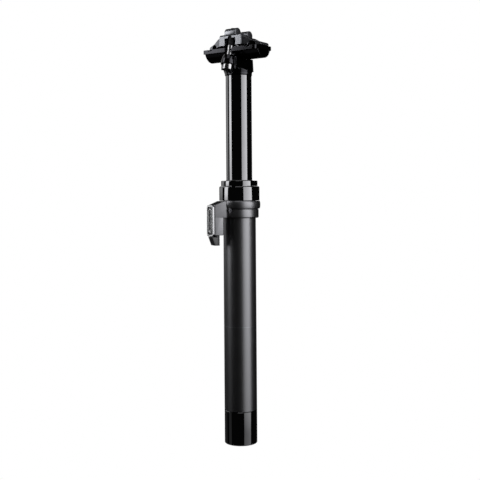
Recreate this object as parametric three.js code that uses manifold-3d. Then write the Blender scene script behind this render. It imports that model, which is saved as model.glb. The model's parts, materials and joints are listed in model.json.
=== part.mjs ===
// A height-adjustable (dropper) bicycle seatpost: a sliding tube on a gas spring inside a fixed tube,
// a cable-worked valve, and a two-bolt clamp for the saddle rails.
// Millimetres, +Z up, the saddle's nose towards -Y. The origin is on the post's axis at its lower end.
import * as THREE from "three";
import { mergeVertices } from "three/addons/utils/BufferGeometryUtils.js";
import Module from "manifold-3d";

const wasm = await Module();
wasm.setup();

// Driving dimensions
const POST_R = 15.8; // the fixed tube, for a 31.6 mm seat tube
const BORE_R = 14.0;
const SLIDER_R = 12.6; // the sliding tube
const SLIDER_BORE_R = 11.2;
const FIT = 0.3; // gap between pieces that touch
const CAP_TOP = 32;
const TUBE_TOP = 240.3;
const RING_BOTTOM = 217.7;
const COLLAR_BOTTOM = 234.4;
const COLLAR_TOP = 248.2;
const COLLAR_R = 19.56;
const SLIDER_BOTTOM = 150;
const SLIDER_TOP = 355.2;
const HOUSING_TURN = -27; // degrees from straight ahead to the cable housing
const ROUND = 32; // sides of the large round pieces
const SMALL = 16; // sides of the small ones
const SHAFT_R = 4.8;
const CARTRIDGE_R = 10.6;
const CARTRIDGE_BORE_R = 9.4;
const KEY_TURNS = [60, 180, 300]; // degrees round the post, from the housing's direction

// The cable lever and what it pulls, as [forward, up] in the housing's own direction
const LEVER_PIVOT = { forward: 16.2, up: 225.1 };
const LEVER_REST = 12; // degrees that the cable arm stands above level
const LEVER_REACH = 8.8;
const TOE_REACH = 3.3;
const STRIP_IN = 12.95;
const STRIP_OUT = 13.5;
const ROCKER_PIVOT = { forward: -9, up: 11 };

// The saddle clamp, as [forward, up]
const RAIL_X = 22;
const RAIL_UP = 382.8;
const RAIL_GROOVE_R = 3.6;
const CRADLE = { forward: 2.2, up: 381, r: 11, wall: 1.6, halfWidth: 31 };
const SEAT_R = 10.5; // the head's hollow under the cradle's middle
const MIDDLE_R = 10.2;
const HEAD_HALF = 8.6;
const FRONT = { head: [18.1, 362], nut: [9.5, 395.4], holeR: 3.6 };
const REAR = { head: [-14.5, 362], nut: [-10.4, 395], holeR: 3.6 };
const BOLT_R = 2.9;
const BOLT_HEAD_R = 5;
const SEAT_ABOVE_HEAD = 3; // from the middle of a bolt's head to its seat
const BOSS = 1.4; // from a bolt's seat, over its washer, to the head's boss
const NUT_R = 4.8;
const NUT_HALF = 6.5;

// Solids: every helper takes and returns a BufferGeometry

function toSolid(geometry) {
  const bare = new THREE.BufferGeometry();
  bare.setAttribute("position", geometry.getAttribute("position"));
  bare.setIndex(geometry.index);
  const merged = mergeVertices(bare, 1e-4);
  const at = merged.attributes.position.array;
  const corners = [];
  let volume = 0;
  for (let i = 0; i < merged.index.count; i += 3) {
    const [a, b, c] = [0, 1, 2].map((k) => merged.index.getX(i + k));
    if (a === b || b === c || c === a) continue;
    corners.push(a, b, c);
    const [p, q, r] = [a, b, c].map((n) => new THREE.Vector3().fromArray(at, 3 * n));
    volume += p.dot(q.cross(r));
  }
  if (volume < 0) corners.reverse();
  const mesh = new wasm.Mesh({
    numProp: 3,
    vertProperties: Float32Array.from(at),
    triVerts: Uint32Array.from(corners),
  });
  return new wasm.Manifold(mesh);
}

function combine(method, first, others) {
  let result = toSolid(first);
  for (const other of others) result = result[method](toSolid(other));
  const mesh = result.getMesh();
  const geometry = new THREE.BufferGeometry();
  geometry.setAttribute("position", new THREE.BufferAttribute(mesh.vertProperties, 3));
  geometry.setIndex(new THREE.BufferAttribute(mesh.triVerts, 1));
  geometry.computeVertexNormals();
  return geometry;
}

const join = (first, ...others) => combine("add", first, others);
const cut = (first, ...others) => combine("subtract", first, others);

// Turns a profile of [radius, up] points round the Z axis.
function lathe(profile, sides = ROUND) {
  const points = profile.map(([r, z]) => new THREE.Vector2(r, z));
  return new THREE.LatheGeometry(points, sides).rotateX(Math.PI / 2);
}

function rod(radius, bottom, top, sides = SMALL) {
  return lathe([[0, bottom], [radius, bottom], [radius, top], [0, top]], sides);
}

function ring(inner, outer, bottom, top, sides = ROUND) {
  return lathe([[inner, bottom], [outer, bottom], [outer, top], [inner, top], [inner, bottom]], sides);
}

function extrude(outline, depth, across, up, along) {
  const drawn = outline instanceof THREE.Shape;
  const shape = drawn ? outline : new THREE.Shape(outline.map(([a, b]) => new THREE.Vector2(a, b)));
  const geometry = new THREE.ExtrudeGeometry(shape, { depth, bevelEnabled: false, curveSegments: 6 });
  return geometry.applyMatrix4(new THREE.Matrix4().makeBasis(across, up, along));
}

const LEFT = new THREE.Vector3(-1, 0, 0);
const RIGHT = new THREE.Vector3(1, 0, 0);
const FORWARD = new THREE.Vector3(0, -1, 0);
const UP = new THREE.Vector3(0, 0, 1);

// An outline of [forward, up] points, as wide as twice halfWidth.
function sideways(outline, halfWidth, middle = 0) {
  return extrude(outline, 2 * halfWidth, FORWARD, UP, LEFT).translate(middle + halfWidth, 0, 0);
}

// An outline of [right, up] points, from back to front.
function lengthways(outline, back, front) {
  return extrude(outline, front - back, RIGHT, UP, FORWARD).translate(0, -back, 0);
}

// An outline of [forward, right] points, from bottom to top.
function upwards(outline, bottom, top) {
  return extrude(outline, top - bottom, FORWARD, RIGHT, UP).translate(0, 0, bottom);
}

function block(forward, right, up) {
  const size = [right[1] - right[0], forward[1] - forward[0], up[1] - up[0]];
  const middle = [(right[0] + right[1]) / 2, -(forward[0] + forward[1]) / 2, (up[0] + up[1]) / 2];
  return new THREE.BoxGeometry(...size).translate(...middle);
}

// A round bar that lies across the post.
function crossRod(radius, from, to, at, sides = SMALL) {
  const bar = new THREE.CylinderGeometry(radius, radius, to - from, sides).rotateZ(Math.PI / 2);
  return bar.translate((from + to) / 2, -at.forward, at.up);
}

function roundedRectangle(a0, a1, b0, b1, r) {
  const shape = new THREE.Shape();
  shape.moveTo(a0 + r, b0);
  shape.lineTo(a1 - r, b0);
  shape.absarc(a1 - r, b0 + r, r, -Math.PI / 2, 0);
  shape.lineTo(a1, b1 - r);
  shape.absarc(a1 - r, b1 - r, r, 0, Math.PI / 2);
  shape.lineTo(a0 + r, b1);
  shape.absarc(a0 + r, b1 - r, r, Math.PI / 2, Math.PI);
  shape.lineTo(a0, b0 + r);
  shape.absarc(a0 + r, b0 + r, r, Math.PI, 1.5 * Math.PI);
  return shape;
}

// Moves a piece made upright on the Z axis to a clamp bolt's axis, with z = 0 at the bolt's seat.
function onBolt(geometry, bolt) {
  const lean = Math.atan2(bolt.head[0] - bolt.nut[0], bolt.nut[1] - bolt.head[1]);
  const forward = bolt.head[0] - SEAT_ABOVE_HEAD * Math.sin(lean);
  const up = bolt.head[1] + SEAT_ABOVE_HEAD * Math.cos(lean);
  return geometry.rotateX(-lean).translate(0, -forward, up);
}

const boltReach = (bolt) =>
  Math.hypot(bolt.nut[0] - bolt.head[0], bolt.nut[1] - bolt.head[1]) - SEAT_ABOVE_HEAD;

// Finishes

const material = (color, roughness, metalness) =>
  new THREE.MeshStandardMaterial({ color, roughness, metalness });
const FINISH = {
  matteBlack: material(0x1b1b1d, 0.55, 0.3),
  glossBlack: material(0x08080a, 0.08, 0.4),
  forgedBlack: material(0x101012, 0.35, 0.4),
  castSilver: material(0x9b9ca0, 0.35, 0.9),
  steel: material(0xb9bbc0, 0.22, 1.0),
  plainAluminium: material(0x8d8f94, 0.4, 1.0),
  brass: material(0xb08d4a, 0.35, 1.0),
  blackPlastic: material(0x141416, 0.5, 0.0),
  blackRubber: material(0x0d0d0e, 0.8, 0.0),
  bushing: material(0x5d564a, 0.6, 0.0),
};

function piece(name, geometry, finish) {
  const mesh = new THREE.Mesh(combine("add", geometry, []), finish.clone());
  mesh.name = name;
  return mesh;
}

// The fixed tube and its bottom end

const stripChannel = (bottom, top) => block([12, 14.2], [-3, 3], [bottom, top]);

function outerTube() {
  const spigotR = 14.7;
  const lipR = 13;
  const tube = lathe([
    [lipR, 14],
    [spigotR, 14],
    [spigotR, CAP_TOP + FIT],
    [POST_R, CAP_TOP + FIT],
    [POST_R, TUBE_TOP - 0.6],
    [POST_R - 0.6, TUBE_TOP],
    [BORE_R, TUBE_TOP],
    [BORE_R, 19.7],
    [lipR, 19.7],
    [lipR, 14],
  ]);
  const window = block([10, 18], [-4.6, 4.6], [219, 231]);
  const grooves = KEY_TURNS.map((turn) =>
    block([12, 14.7], [-1.4, 1.4], [45, 190]).rotateZ(THREE.MathUtils.degToRad(turn)),
  );
  return cut(tube, window, stripChannel(13, 20), ...grooves);
}

function bottomCap() {
  const cap = lathe([
    [4, 0],
    [POST_R - 0.8, 0],
    [POST_R, 0.8],
    [POST_R, CAP_TOP],
    [15, CAP_TOP],
    [15, 13.7],
    [13.95, 13.7],
    [13.95, 5],
    [4, 5],
    [4, 0],
  ]);
  const lugs = [-4.2, 4.2].map((x) => block([-12, -6], [x - 1, x + 1], [4.8, 13.5]));
  return cut(join(cap, ...lugs), crossRod(1.25, -6, 6, ROCKER_PIVOT));
}

function shaftMount() {
  return cut(ring(4.3, 13.7, 20, 25), block([12.3, 14], [-3.2, 3.2], [19, 26]));
}

function cartridgeShaft() {
  const boreR = 2;
  return lathe(
    [
      [boreR, 15.6],
      [4, 15.6],
      [4, 25.3],
      [SHAFT_R, 25.3],
      [SHAFT_R, 182],
      [3.3, 182],
      [3.3, 192],
      [boreR, 192],
      [boreR, 15.6],
    ],
    SMALL,
  );
}

function shaftNut() {
  return cut(rod(7.5, 15.8, 19.7, 6), rod(4.3, 15, 20));
}

function shaftPiston() {
  return lathe(
    [
      [3.6, 182.3],
      [9.1, 182.3],
      [9.1, 184.8],
      [7.8, 184.8],
      [7.8, 187.7],
      [9.1, 187.7],
      [9.1, 190],
      [3.6, 190],
      [3.6, 182.3],
    ],
    ROUND,
  );
}

// The collar, its seal and its bearings

function upperBushing() {
  return cut(ring(12.75, 13.75, 192, 216), block([12, 14], [-3, 3], [191, 217]));
}

function sealCollar() {
  return lathe([
    [16.1, COLLAR_BOTTOM],
    [COLLAR_R - 0.3, COLLAR_BOTTOM],
    [COLLAR_R, COLLAR_BOTTOM + 0.3],
    [COLLAR_R, COLLAR_TOP - 0.9],
    [COLLAR_R - 0.9, COLLAR_TOP],
    [17.6, COLLAR_TOP],
    [17.6, 241.5],
    [13.3, 241.5],
    [13.3, 240.6],
    [16.1, 240.6],
    [16.1, COLLAR_BOTTOM],
  ]);
}

function rollerClutch() {
  return lathe([
    [13.1, 241.8],
    [17.3, 241.8],
    [17.3, 247.9],
    [13.1, 247.9],
    [13.1, 246.9],
    [14.2, 246.9],
    [14.2, 242.8],
    [13.1, 242.8],
    [13.1, 241.8],
  ]);
}

function collarCap() {
  return lathe([
    [14.6, 248.5],
    [17.7, 248.5],
    [17.7, 253],
    [17.1, 253.6],
    [13.5, 253.6],
    [13.5, 252.5],
    [14.6, 252.5],
    [14.6, 248.5],
  ]);
}

function wiperSeal() {
  return lathe([
    [12.8, 248.8],
    [14.3, 248.8],
    [14.3, 252.2],
    [13.2, 252.2],
    [13.2, 254.1],
    [12.8, 254.1],
    [12.8, 248.8],
  ]);
}

// The cable housing, in its own direction

function actuatorHousing() {
  const innerR = POST_R + FIT;
  const rings = lathe([
    [innerR, RING_BOTTOM],
    [17.5, RING_BOTTOM],
    [18.6, RING_BOTTOM + 1.2],
    [18.6, 225.8],
    [18, 226.2],
    [18, 226.5],
    [19.8, 226.9],
    [20.3, 230.3],
    [19.8, 234.1],
    [innerR, 234.1],
    [innerR, RING_BOTTOM],
  ]);
  const half = [[30.2, 6.9], [21.5, 8.2], [17.5, 9.8], [14, 12.7], [10, 15.7]];
  const outline = [...half, ...half.map(([f, r]) => [f, -r]).reverse()];
  const body = upwards(outline, 218, 234.1);
  const leg = upwards([[30.2, 6.9], [21.3, 7.6], [21.3, -7.6], [30.2, -6.9]], 201.4, 219);
  const slope = sideways([[20.2, 234.1], [30.5, 230.2], [30.5, 240], [20.2, 240]], 30);
  const cavity = sideways(
    [[31, 204.5], [31, 228.2], [26, 229.9], [13, 229.9], [13, 219.8], [23.3, 219.8], [23.3, 204.5]],
    4.4,
  );
  const cableHole = rod(1.2, 200, 206).translate(0, -25.2, 0);
  const pinHole = crossRod(1.5, -10.8, 14, LEVER_PIVOT);
  const pinHeadHole = crossRod(2.4, 10.1, 14, LEVER_PIVOT);
  const tubeRoom = rod(innerR, 215, 236, ROUND);
  return cut(join(rings, body, leg), tubeRoom, slope, cavity, cableHole, pinHole, pinHeadHole);
}

function coverPlate() {
  const outer = lengthways(roundedRectangle(-6.7, 6.7, 200.2, 230.3, 3), 30.5, 32.2);
  const recess = lengthways(roundedRectangle(-5.3, 5.3, 201.6, 228.9, 2.2), 31.7, 33);
  const badge = lengthways(roundedRectangle(-3.2, 3.2, 204, 226.5, 3.1), 31.5, 32.1);
  const badgeWell = lengthways(roundedRectangle(-2, 2, 205.2, 225.3, 1.9), 31.8, 33);
  return join(cut(outer, recess), cut(badge, badgeWell));
}

function cableFerrule() {
  return cut(rod(3.1, 191.5, 201.1).translate(0, -25.2, 0), rod(2.15, 190, 202).translate(0, -25.2, 0));
}

function inletGuard() {
  const wedge = sideways([[25.2, 191.7], [28.9, 191.7], [32, 199.9], [25.2, 199.9]], 4.4);
  return cut(wedge, rod(3.4, 190, 202).translate(0, -25.2, 0));
}

// The lever lies level here; its group tips it to its rest angle about the pivot.
function cableLever() {
  const outline = [
    [-TOE_REACH, -0.7],
    [0, -2],
    [LEVER_REACH, -2.2],
    [LEVER_REACH + 1.6, -1.5],
    [LEVER_REACH + 2.2, 0],
    [LEVER_REACH + 1.6, 1.5],
    [LEVER_REACH, 2.2],
    [0, 2.4],
    [-TOE_REACH, 0.7],
  ];
  const pinHole = crossRod(1.5, -3, 3, { forward: 0, up: 0 });
  const anchorHole = crossRod(1.5, -3, 3, { forward: LEVER_REACH, up: 0 });
  return cut(sideways(outline, 1.2), pinHole, anchorHole);
}

function cableAnchor() {
  const barrel = crossRod(1.2, -3.2, 3.2, { forward: LEVER_REACH, up: 0 });
  const collar = crossRod(1.9, 1.5, 3.2, { forward: LEVER_REACH, up: 0 });
  const wireHole = rod(0.6, -4, 4).translate(2.3, -LEVER_REACH, 0);
  return cut(join(barrel, collar), wireHole);
}

function leverPin() {
  const shank = crossRod(1.2, -10.5, 10.6, LEVER_PIVOT);
  const head = crossRod(2.05, 10.4, 11.9, LEVER_PIVOT);
  const socket = crossRod(1, 11, 12.5, LEVER_PIVOT, 6);
  return cut(join(shank, head), socket);
}

function leverSpring() {
  const turns = 3.5;
  const coilR = 2.2;
  class Coil extends THREE.Curve {
    getPoint(t) {
      const angle = 2 * Math.PI * turns * t;
      const right = 1.8 + 2.1 * t;
      const forward = LEVER_PIVOT.forward + coilR * Math.cos(angle);
      return new THREE.Vector3(right, -forward, LEVER_PIVOT.up + coilR * Math.sin(angle));
    }
  }
  const wire = new THREE.Shape().absarc(0, 0, 0.22, 0, 2 * Math.PI);
  return new THREE.ExtrudeGeometry(wire, {
    steps: 42,
    curveSegments: 3,
    extrudePath: new Coil(),
  });
}

function pullStrip() {
  const strip = block([STRIP_IN, STRIP_OUT], [-2.5, 2.5], [8, 229]);
  const toeSlot = block([12, 15], [-1.6, 1.6], [222.7, 226.1]);
  const rockerSlot = block([12, 15], [-1.6, 1.6], [9.2, 12.9]);
  return cut(strip, toeSlot, rockerSlot);
}

function valveRocker() {
  const outline = [
    [-11, 9.6],
    [-6, 9.2],
    [11, 9.9],
    [13.35, 10.2],
    [13.35, 11.8],
    [11, 12.1],
    [-6, 12.2],
    [-11, 12.2],
  ];
  return cut(sideways(outline, 1.2), crossRod(1.25, -3, 3, ROCKER_PIVOT));
}

// The sliding tube and the gas cartridge in it

function lowerBushing() {
  const windows = KEY_TURNS.map((turn) =>
    block([12, 15], [-1.3, 1.3], [154, 162]).rotateZ(THREE.MathUtils.degToRad(turn)),
  );
  const stripNotch = block([12, 15], [-3, 3], [150, 168]);
  return cut(ring(12.85, 13.75, 151, 166), stripNotch, ...windows);
}

function guideKey(turn) {
  const key = lengthways(roundedRectangle(-1, 1, 154.3, 161.7, 0.95), 12.9, 14.4);
  return key.rotateZ(THREE.MathUtils.degToRad(turn));
}

function cartridgeSealHead() {
  return lathe([
    [5.1, 160],
    [10.9, 160],
    [10.9, 167.7],
    [9.1, 167.7],
    [9.1, 176],
    [5.1, 176],
    [5.1, 160],
  ]);
}

function cartridgePlug() {
  return lathe([
    [2.6, 326],
    [9.1, 326],
    [9.1, 334.3],
    [10.6, 334.3],
    [10.6, 338],
    [2.6, 338],
    [2.6, 326],
  ]);
}

function floatingPiston() {
  return lathe([
    [0, 290],
    [9.1, 290],
    [9.1, 292.4],
    [7.8, 292.4],
    [7.8, 295.3],
    [9.1, 295.3],
    [9.1, 298],
    [5, 298],
    [4, 293.5],
    [0, 293.5],
  ]);
}

function airValve() {
  return lathe(
    [
      [1.2, 338.4],
      [4.2, 338.4],
      [4.2, 341.5],
      [2.4, 342.5],
      [2.4, 360],
      [1.2, 360],
      [1.2, 338.4],
    ],
    SMALL,
  );
}

function valveCap() {
  return lathe(
    [
      [2.8, 352],
      [4, 352],
      [4, 363.4],
      [3.4, 364],
      [0, 364],
      [0, 360.4],
      [2.8, 360.4],
      [2.8, 352],
    ],
    SMALL,
  );
}

// The head and the saddle clamp

function headBlock() {
  const neck = lathe([
    [0, SLIDER_TOP + FIT],
    [13.2, SLIDER_TOP + FIT],
    [13.5, 357.5],
    [15, 362],
    [15.4, 365.5],
    [0, 365.5],
  ]);
  const spigot = rod(SLIDER_BORE_R - FIT, 342, 356.5, ROUND);
  const web = sideways([[-13.5, 360], [-12.5, 371.8], [16, 371.8], [17, 360]], HEAD_HALF);
  const frontBoss = onBolt(lathe([[0, BOSS], [7, BOSS], [7.1, 3.5], [6, 8], [0, 8]], SMALL), FRONT);
  const rearBoss = onBolt(lathe([[0, BOSS], [5.3, BOSS], [5.2, 7.5], [0, 7.5]], SMALL), REAR);
  const flats = [-1, 1].map((side) =>
    sideways([[-30, 349], [20, 364], [20, 380], [-30, 380]], 5, side * (HEAD_HALF + 5)),
  );
  const seat = crossRod(SEAT_R, -20, 20, CRADLE, ROUND);
  const bossHoles = [FRONT, REAR].map((bolt) => onBolt(rod(bolt.holeR, -10, 12), bolt));
  const headPockets = [
    onBolt(lathe([[0, BOSS], [6.2, BOSS], [6.2, -7.2], [4, -8.4], [0, -8.4]], SMALL), FRONT),
    onBolt(lathe([[0, BOSS], [5.9, BOSS], [5.9, -7.2], [4, -8.4], [0, -8.4]], SMALL), REAR),
  ];
  const valveBore = rod(4.6, 338, 380);
  const shape = cut(join(neck, web), ...flats);
  return cut(join(shape, frontBoss, rearBoss, spigot), seat, valveBore, ...bossHoles, ...headPockets);
}

function halfPipe(outerR, innerR, halfWidth) {
  const shape = new THREE.Shape();
  shape.absarc(CRADLE.forward, CRADLE.up, outerR, Math.PI, 2 * Math.PI, false);
  shape.absarc(CRADLE.forward, CRADLE.up, innerR, 2 * Math.PI, Math.PI, true);
  const geometry = new THREE.ExtrudeGeometry(shape, {
    depth: 2 * halfWidth,
    bevelEnabled: false,
    curveSegments: 12,
  });
  geometry.applyMatrix4(new THREE.Matrix4().makeBasis(FORWARD, UP, LEFT));
  return geometry.translate(halfWidth, 0, 0);
}

const railGrooves = () =>
  [-RAIL_X, RAIL_X].map((x) => {
    const bar = new THREE.CylinderGeometry(RAIL_GROOVE_R, RAIL_GROOVE_R, 60, SMALL);
    return bar.translate(x, 0, RAIL_UP);
  });

function lowerCradle() {
  const innerR = CRADLE.r - CRADLE.wall;
  const pipe = halfPipe(CRADLE.r, innerR, CRADLE.halfWidth);
  const middleRoom = halfPipe(CRADLE.r + 2, MIDDLE_R, 13.8);
  const middle = halfPipe(MIDDLE_R, 7.6, 13.8);
  const flangeSide = [[-12.6, 378.4], [8, 378.2], [17.1, 376.9], [17.1, 380.8], [8, 382.2], [-12.6, 382.2]];
  const flangePlan = roundedRectangle(-12.6, 17.1, -CRADLE.halfWidth, CRADLE.halfWidth, 3);
  const flange = combine("intersect", upwards(flangePlan, 370, 390), [sideways(flangeSide, 40)]);
  const slots = [
    block([8.5, 20], [-3.8, 3.8], [374, 384]),
    block([-20, -7.2], [-3.8, 3.8], [374, 384]),
  ];
  return cut(join(cut(pipe, middleRoom), middle, flange), ...slots, ...railGrooves());
}

function clampWing(side) {
  const outline = [
    [10, 383.4],
    [10, 392.2],
    [14.8, 390.9],
    [17.5, 389.6],
    [22, 387],
    [26.5, 386],
    [29.2, 385.3],
    [30.2, 384.2],
    [30.4, 382.6],
    [18, 382.6],
    [16, 383.4],
  ].map(([x, z]) => [side * x, z]);
  return lengthways(outline, -7.4, 13.4);
}

function upperClamp() {
  const front = sideways([[1, 383.4], [14.1, 383.4], [14.1, 392.4], [12.6, 394.1], [1, 392.6]], 12.5);
  const rear = sideways([[-15, 383.4], [1.5, 383.4], [1.5, 392], [-6, 394.1], [-13.6, 394.1], [-15, 392.6]], 7);
  const window = block([4.5, 15], [-6.2, 6.2], [383, 390.4]);
  const rearWindow = block([-16, -5], [-4.4, 4.4], [383, 390]);
  const troughs = [
    crossRod(NUT_R + FIT, -6.8, 6.8, { forward: FRONT.nut[0], up: FRONT.nut[1] }, 32),
    crossRod(NUT_R + FIT, -8, 8, { forward: REAR.nut[0], up: REAR.nut[1] }, 32),
  ];
  const boltHoles = [FRONT, REAR].map((bolt) => onBolt(rod(3.9, 14, 50), bolt));
  const body = join(front, rear, clampWing(-1), clampWing(1));
  return cut(body, window, rearWindow, ...troughs, ...boltHoles, ...railGrooves());
}

function barrelNut(bolt) {
  const bar = crossRod(NUT_R, -NUT_HALF, NUT_HALF, { forward: bolt.nut[0], up: bolt.nut[1] }, 32);
  return cut(bar, onBolt(rod(3.3, 14, 50), bolt));
}

function clampBolt(bolt) {
  const tip = boltReach(bolt) + 4.7;
  const profile = [[0, -6], [4.6, -6], [BOLT_HEAD_R, -5.6], [BOLT_HEAD_R, 0], [BOLT_R, 0]];
  const screw = lathe([...profile, [BOLT_R, tip - 0.6], [BOLT_R - 0.6, tip], [0, tip]]);
  return onBolt(cut(screw, rod(2.9, -7, -3, 6)), bolt);
}

function boltWasher(bolt) {
  return onBolt(ring(3.3, 5.6, FIT, 1.1, 32), bolt);
}

// Assembly

function housingGroup() {
  const group = new THREE.Group();
  group.add(
    piece("outer_tube", outerTube(), FINISH.matteBlack),
    piece("bottom_cap", bottomCap(), FINISH.glossBlack),
    piece("shaft_mount", shaftMount(), FINISH.plainAluminium),
    piece("cartridge_shaft", cartridgeShaft(), FINISH.steel),
    piece("shaft_nut", shaftNut(), FINISH.steel),
    piece("shaft_piston", shaftPiston(), FINISH.plainAluminium),
    piece("piston_ring", ring(8.1, 9.2, 185.1, 187.4), FINISH.blackRubber),
    piece("upper_bushing", upperBushing(), FINISH.bushing),
    piece("actuator_housing", actuatorHousing(), FINISH.matteBlack),
    piece("cover_plate", coverPlate(), FINISH.forgedBlack),
    piece("cable_ferrule", cableFerrule(), FINISH.blackPlastic),
    piece("inlet_guard", inletGuard(), FINISH.blackPlastic),
    piece("lever_pin", leverPin(), FINISH.steel),
    piece("lever_spring", leverSpring(), FINISH.steel),
    piece("rocker_pin", crossRod(1, -5, 5, ROCKER_PIVOT), FINISH.steel),
    piece("pull_strip", pullStrip(), FINISH.steel),
    piece("valve_rocker", valveRocker(), FINISH.steel),
    piece("valve_pin", rod(1.5, 12.6, 188), FINISH.steel),
    piece("seal_collar", sealCollar(), FINISH.glossBlack),
    piece("roller_clutch", rollerClutch(), FINISH.steel),
    piece("collar_cap", collarCap(), FINISH.glossBlack),
    piece("wiper_seal", wiperSeal(), FINISH.blackRubber),
  );
  group.add(leverGroup(), sliderGroup());
  group.rotation.z = THREE.MathUtils.degToRad(HOUSING_TURN);
  return group;
}

function leverGroup() {
  const group = new THREE.Group();
  group.add(
    piece("cable_lever", cableLever(), FINISH.steel),
    piece("cable_anchor", cableAnchor(), FINISH.brass),
  );
  group.position.set(0, -LEVER_PIVOT.forward, LEVER_PIVOT.up);
  group.rotation.x = THREE.MathUtils.degToRad(-LEVER_REST);
  return group;
}

function sliderGroup() {
  const group = new THREE.Group();
  group.add(
    piece("sliding_tube", ring(SLIDER_BORE_R, SLIDER_R, SLIDER_BOTTOM, SLIDER_TOP), FINISH.glossBlack),
    piece("lower_bushing", lowerBushing(), FINISH.bushing),
    piece("cartridge_tube", ring(CARTRIDGE_BORE_R, CARTRIDGE_R, 168, 334), FINISH.plainAluminium),
    piece("cartridge_seal_head", cartridgeSealHead(), FINISH.plainAluminium),
    piece("top_out_bumper", ring(5.1, 8.5, 176.8, 181), FINISH.blackRubber),
    piece("cartridge_plug", cartridgePlug(), FINISH.plainAluminium),
    piece("floating_piston", floatingPiston(), FINISH.plainAluminium),
    piece("floating_piston_ring", ring(8.1, 9.2, 292.7, 295), FINISH.blackRubber),
    piece("air_valve", airValve(), FINISH.brass),
    piece("air_valve_cap", valveCap(), FINISH.blackPlastic),
  );
  KEY_TURNS.forEach((turn, i) => {
    group.add(piece(`guide_key_${i + 1}`, guideKey(turn), FINISH.brass));
  });
  return group;
}

function headGroup() {
  const group = new THREE.Group();
  group.add(
    piece("head_block", headBlock(), FINISH.forgedBlack),
    piece("lower_cradle", lowerCradle(), FINISH.forgedBlack),
    piece("upper_clamp", upperClamp(), FINISH.castSilver),
    piece("front_barrel_nut", barrelNut(FRONT), FINISH.castSilver),
    piece("rear_barrel_nut", barrelNut(REAR), FINISH.castSilver),
    piece("front_bolt", clampBolt(FRONT), FINISH.steel),
    piece("rear_bolt", clampBolt(REAR), FINISH.steel),
    piece("front_washer", boltWasher(FRONT), FINISH.steel),
    piece("rear_washer", boltWasher(REAR), FINISH.steel),
  );
  return group;
}

const seatpost = new THREE.Group();
seatpost.add(housingGroup(), headGroup());

export default seatpost;
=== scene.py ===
"""Builds the looks of a height-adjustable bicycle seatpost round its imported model.

Run as a script, it makes every shown piece, the finishes, the lights and the camera. The operators can
also be found on the Seatpost page of the 3D view's sidebar.
"""

import json
import math

import bpy
from mathutils import Matrix, Vector


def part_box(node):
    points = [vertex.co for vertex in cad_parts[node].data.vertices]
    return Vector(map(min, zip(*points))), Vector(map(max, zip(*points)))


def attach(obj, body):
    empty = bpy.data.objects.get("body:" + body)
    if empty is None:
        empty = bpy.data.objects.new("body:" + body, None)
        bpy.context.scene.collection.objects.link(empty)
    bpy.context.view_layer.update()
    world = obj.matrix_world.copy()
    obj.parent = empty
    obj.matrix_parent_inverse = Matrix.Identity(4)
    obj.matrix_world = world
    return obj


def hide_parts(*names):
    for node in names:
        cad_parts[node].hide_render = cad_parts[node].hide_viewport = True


bl_info = {
    "name": "Height-adjustable seatpost",
    "version": (1, 0, 0),
    "blender": (4, 5, 0),
    "location": "View3D > Sidebar > Seatpost",
    "description": "Models and finishes a height-adjustable bicycle seatpost",
    "category": "Object",
}

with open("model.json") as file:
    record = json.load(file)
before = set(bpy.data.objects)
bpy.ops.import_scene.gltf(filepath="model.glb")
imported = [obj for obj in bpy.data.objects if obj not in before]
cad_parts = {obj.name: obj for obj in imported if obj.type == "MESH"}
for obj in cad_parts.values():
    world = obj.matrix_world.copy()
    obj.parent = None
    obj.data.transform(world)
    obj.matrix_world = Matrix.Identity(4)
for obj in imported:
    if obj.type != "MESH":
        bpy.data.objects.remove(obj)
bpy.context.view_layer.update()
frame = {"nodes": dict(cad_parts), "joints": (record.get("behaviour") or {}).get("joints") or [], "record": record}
MM = 0.001
JOINTS = {joint["name"]: joint for joint in frame["joints"]}

# Places, in millimetres, from the frame


def span(node):
    """Lowest and highest corner of a CAD node, in millimetres."""
    low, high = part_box(node)
    return low / MM, high / MM


def place(joint):
    return Vector(JOINTS[joint]["pos_m"]) / MM


POST_RADIUS = span("outer_tube")[1].x
SLIDER_RADIUS = span("sliding_tube")[1].x
HOUSING_SIDE = Vector(JOINTS["lever_pull"]["axis"])  # to the right, seen from outside the housing
HOUSING_TURN = math.atan2(HOUSING_SIDE.y, HOUSING_SIDE.x)
TILT_AXIS = place("saddle_tilt")
PIN = (0, -16.2, 225.1)  # the cable lever's pin, straight ahead
RAIL_SIDE, RAIL_UP, RAIL_GROOVE = 22.0, 382.8, 3.6  # the saddle rails' grooves
NUT_RADIUS = 4.8
EDGE_ANGLE = math.radians(35)
LENS_SHIFT = (0.00125, -0.09375)  # right and up, as shares of the sensor
CAMERA_ROLL = math.radians(0.4)
BOLTS = {
    "front": (place("front_bolt_rock"), place("front_nut_turn")),
    "rear": (place("rear_bolt_rock"), place("rear_nut_turn")),
}


class SeatpostSizes(bpy.types.PropertyGroup):
    """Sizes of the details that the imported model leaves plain."""

    sides: bpy.props.IntProperty(
        name="Sides", description="Sides of the large round pieces", default=192, min=32, max=256
    )
    line_height: bpy.props.FloatProperty(
        name="Insertion line",
        description="Height of the ring that marks the least insertion",
        default=113.2 * MM,
        subtype="DISTANCE",
        unit="LENGTH",
    )
    casting_voxel: bpy.props.FloatProperty(
        name="Casting detail",
        description="Grid size that rounds the cast and forged pieces",
        default=0.3 * MM,
        subtype="DISTANCE",
        unit="LENGTH",
        precision=5,
    )
    casting_passes: bpy.props.IntProperty(
        name="Casting rounding", description="Smoothing passes on cast and forged pieces", default=5, min=0
    )


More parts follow.
